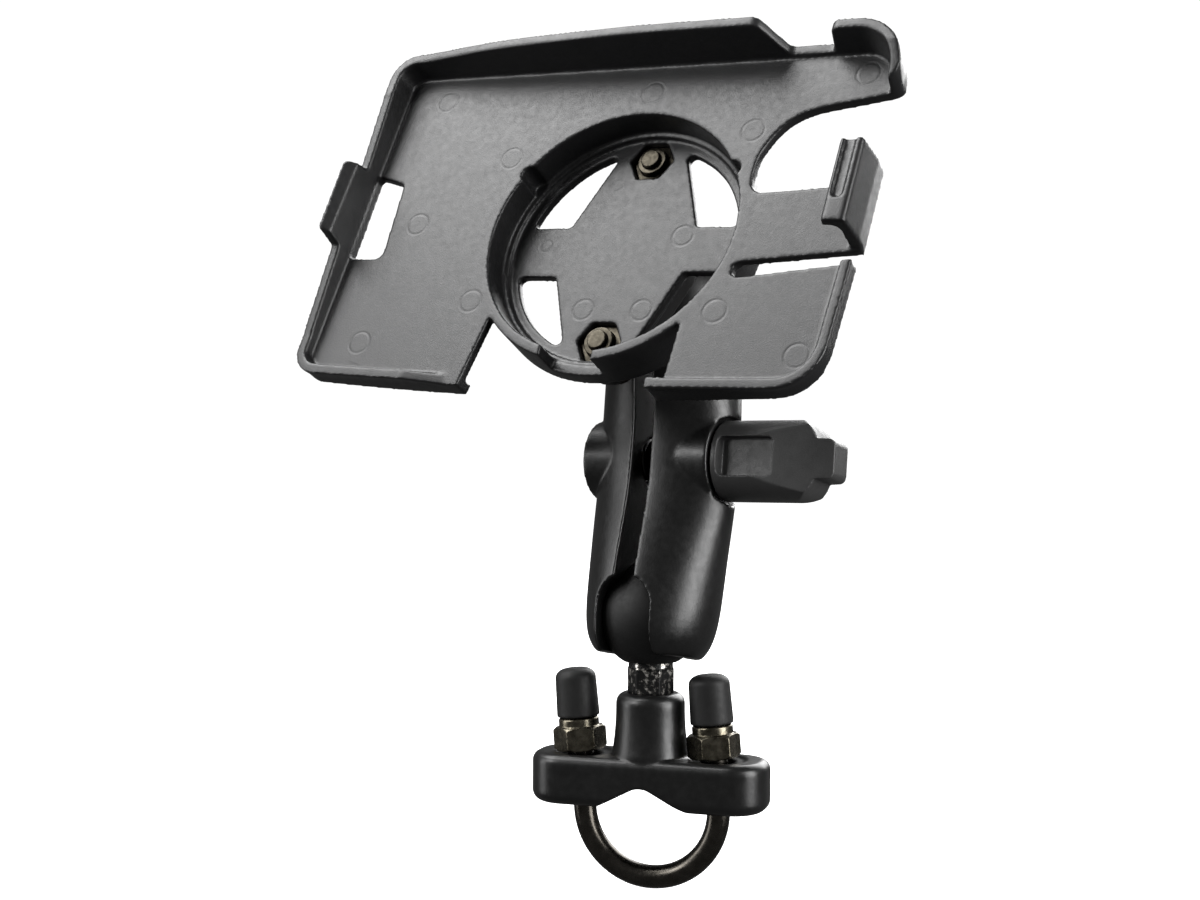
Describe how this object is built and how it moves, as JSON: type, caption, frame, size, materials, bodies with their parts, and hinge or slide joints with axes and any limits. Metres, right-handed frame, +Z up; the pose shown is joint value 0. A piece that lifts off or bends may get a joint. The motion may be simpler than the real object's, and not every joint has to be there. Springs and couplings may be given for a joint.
{
  "type": "handlebar device mount",
  "caption": "Rail-clamped mount: a U-bolt base, a knob-tightened arm on two balls, and a snap-in cradle for a handheld device.",
  "frame": {"origin": "on the axis of the rail in the clamp, straight under the lower ball", "axes": "+Z up the post, +X from the left U-bolt leg to the right one, Y along the rail; the cradle faces -Y"},
  "size_m": [0.1441, 0.0785, 0.2036],
  "materials": {
    "cast_black": "black powder coat, fine grain",
    "bright_metal": "black coat worn to bright metal on the edges of the neck",
    "ball_rubber": "matt rubber",
    "dark_steel": "dark zinc plating, satin",
    "nut_steel": "bronze-toned dark zinc plating, satin",
    "nylon": "natural nylon",
    "cap_rubber": "matt soft rubber",
    "spring_steel": "drawn wire",
    "knob_plastic": "fine grained black moulding",
    "insert_brass": "turned brass",
    "cradle_plastic": "fine grained black moulding, matt"
  },
  "bodies": {
    "base": {"base_plate": "cast_black", "ball_stud": "bright_metal"},
    "u_bolt": {"u_bolt": "dark_steel"},
    "nut_left": {"lock_nut_left": "nut_steel", "nylon_ring_left": "nylon"},
    "nut_right": {"lock_nut_right": "nut_steel", "nylon_ring_right": "nylon"},
    "cap_left": {"thread_cap_left": "cap_rubber"},
    "cap_right": {"thread_cap_right": "cap_rubber"},
    "lower_ball": {"lower_ball_cover": "ball_rubber"},
    "arm": {"arm_bolt_half": "cast_black", "clamp_bolt": "dark_steel", "clamp_spring": "spring_steel"},
    "arm_jaw": {"arm_knob_half": "cast_black", "clamp_washer": "dark_steel"},
    "knob": {"clamp_knob": "knob_plastic", "knob_insert": "insert_brass"},
    "upper_ball": {"upper_ball_cover": "ball_rubber"},
    "head": {"ball_plate": "cast_black", "cradle_screws": "dark_steel", "cradle_nuts": "dark_steel", "cradle": "cradle_plastic"},
    "latch": {"release_latch": "cradle_plastic"}
  },
  "joints": [
    {"name": "nut_left_turn", "type": "hinge", "parent": "base", "child": "nut_left", "pos_m": [-0.01736, 0, 0.01775], "axis": [-0.0837, 0, 0.9965], "range_deg": [0, 2268.5]},
    {"name": "nut_right_turn", "type": "hinge", "parent": "base", "child": "nut_right", "pos_m": [0.01576, 0, 0.01775], "axis": [-0.0837, 0, 0.9965], "range_deg": [0, 2268.5]},
    {"name": "u_bolt_slide", "type": "slide", "parent": "base", "child": "u_bolt", "axis": [-0.0837, 0, 0.9965], "range_m": [-0.008, 0]},
    {"name": "cap_left_pull", "type": "slide", "parent": "base", "child": "cap_left", "axis": [-0.0837, 0, 0.9965], "range_m": [0, 0.002]},
    {"name": "cap_right_pull", "type": "slide", "parent": "base", "child": "cap_right", "axis": [-0.0837, 0, 0.9965], "range_m": [0, 0.0012]},
    {"name": "lower_swivel", "type": "hinge", "parent": "base", "child": "lower_ball", "pos_m": [0, 0, 0.0507], "axis": [0, 0, 1], "continuous": true},
    {"name": "lower_tilt", "type": "hinge", "parent": "lower_ball", "child": "arm", "pos_m": [0, 0, 0.0507], "axis": [0.9768, -0.2132, 0.0171], "range_deg": [-34, 26]},
    {"name": "jaw_slide", "type": "slide", "parent": "arm", "child": "arm_jaw", "axis": [0.9768, -0.2132, 0.0171], "range_m": [0, 0.0019]},
    {"name": "knob_turn", "type": "hinge", "parent": "arm_jaw", "child": "knob", "pos_m": [0.00085, 0.00682, 0.0869], "axis": [0.9768, -0.2132, 0.0171], "range_deg": [0, 539.5]},
    {"name": "upper_tilt", "type": "hinge", "parent": "arm", "child": "upper_ball", "pos_m": [0.0017, 0.01364, 0.12311], "axis": [0.9768, -0.2132, 0.0171], "range_deg": [-10, 24]},
    {"name": "upper_swivel", "type": "hinge", "parent": "upper_ball", "child": "head", "pos_m": [0.0017, 0.01364, 0.12311], "axis": [-0.1699, -0.8739, 0.4555], "continuous": true},
    {"name": "latch_press", "type": "hinge", "parent": "head", "child": "latch", "pos_m": [0.02931, -0.02557, 0.13854], "axis": [0.1262, 0.4392, 0.8895], "range_deg": [0, 8], "stiffness_Nm_per_rad": 0.2}
  ],
  "couplings": [
    {"joint": "nut_left_turn", "follows": "u_bolt_slide", "rad_per_m": -4947.4},
    {"joint": "nut_right_turn", "follows": "u_bolt_slide", "rad_per_m": -4947.4},
    {"joint": "knob_turn", "follows": "jaw_slide", "rad_per_m": 4947.4}
  ]
}
